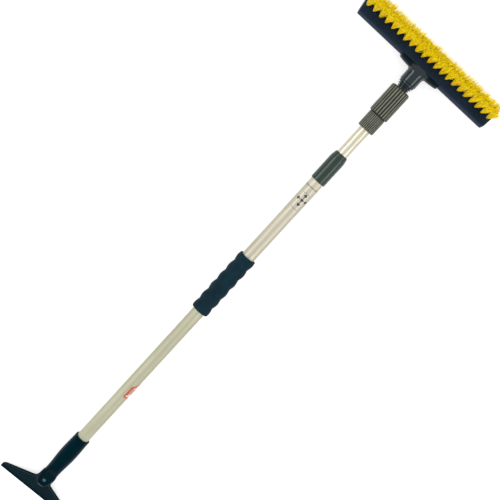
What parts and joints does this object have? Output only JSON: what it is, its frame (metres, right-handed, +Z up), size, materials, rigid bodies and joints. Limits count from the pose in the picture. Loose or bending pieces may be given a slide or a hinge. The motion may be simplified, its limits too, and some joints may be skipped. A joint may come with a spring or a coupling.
{
  "type": "telescoping snow brush and ice scraper",
  "caption": "Telescoping aluminium pole with a foam grip, a wide ice scraper on its lower end and a swivelling snow brush with a ribbed lock nut on its upper end.",
  "frame": {"origin": "middle of the tool's footprint, on the surface that it lies on, at rest with the pole partly extended", "axes": "+X along the pole from the scraper to the brush, +Z up and along the bristles, +Y to the left of someone looking along +X"},
  "size_m": [1.033, 0.2808, 0.0712],
  "materials": {
    "scraper_plastic": "moulded black, soft gloss",
    "outer_aluminium": "satin anodised, warm silver",
    "inner_aluminium": "bright satin",
    "foam": "closed-cell foam, blue-black",
    "sleeve_plastic": "smooth, glossy, dark green-grey",
    "ribbed_plastic": "moulded satin, dark grey-green",
    "head_plastic": "moulded gloss black",
    "block_plastic": "moulded satin navy black",
    "bristle": "bright yellow polypropylene filament",
    "steel": "zinc plated",
    "nylon": "natural nylon",
    "red_film": "printed label film, red on silver",
    "clear_film": "clear label film with dark arrows"
  },
  "bodies": {
    "handle": {"scraper_head": "scraper_plastic", "scraper_rivet": "steel", "tube_plug": "nylon", "lower_tube": "outer_aluminium", "upper_tube": "outer_aluminium", "maker_label": "red_film", "foam_grip": "foam", "pictogram_label": "clear_film", "lock_sleeve": "sleeve_plastic"},
    "lock_shoe": {"lock_shoe": "nylon"},
    "inner_pole": {"inner_tube": "inner_aluminium", "lock_spindle": "nylon", "spindle_pin": "steel", "retainer_screw": "steel", "tube_ferrule": "ribbed_plastic", "ferrule_pin": "steel", "collet": "nylon"},
    "lock_nut": {"lock_nut": "ribbed_plastic"},
    "brush_head": {"swivel_stem": "head_plastic", "stem_screw": "steel", "head_saddle": "head_plastic", "saddle_screw_left": "steel", "saddle_screw_right": "steel", "brush_block": "block_plastic", "bristle_row_near": "bristle", "bristle_row_far": "bristle"}
  },
  "joints": [
    {"name": "telescope", "type": "slide", "parent": "handle", "child": "lock_shoe", "axis": [1, 0, 0], "range_m": [-0.053, 0.3]},
    {"name": "twist_lock", "type": "hinge", "parent": "lock_shoe", "child": "inner_pole", "pos_m": [0, 0, 0.022], "axis": [1, 0, 0], "range_deg": [0, 180]},
    {"name": "nut_turn", "type": "hinge", "parent": "inner_pole", "child": "lock_nut", "pos_m": [0.409, 0, 0.022], "axis": [1, 0, 0], "range_deg": [0, 120]},
    {"name": "head_swivel", "type": "hinge", "parent": "inner_pole", "child": "brush_head", "pos_m": [0.44, 0, 0.022], "axis": [1, 0, 0], "continuous": true}
  ]
}
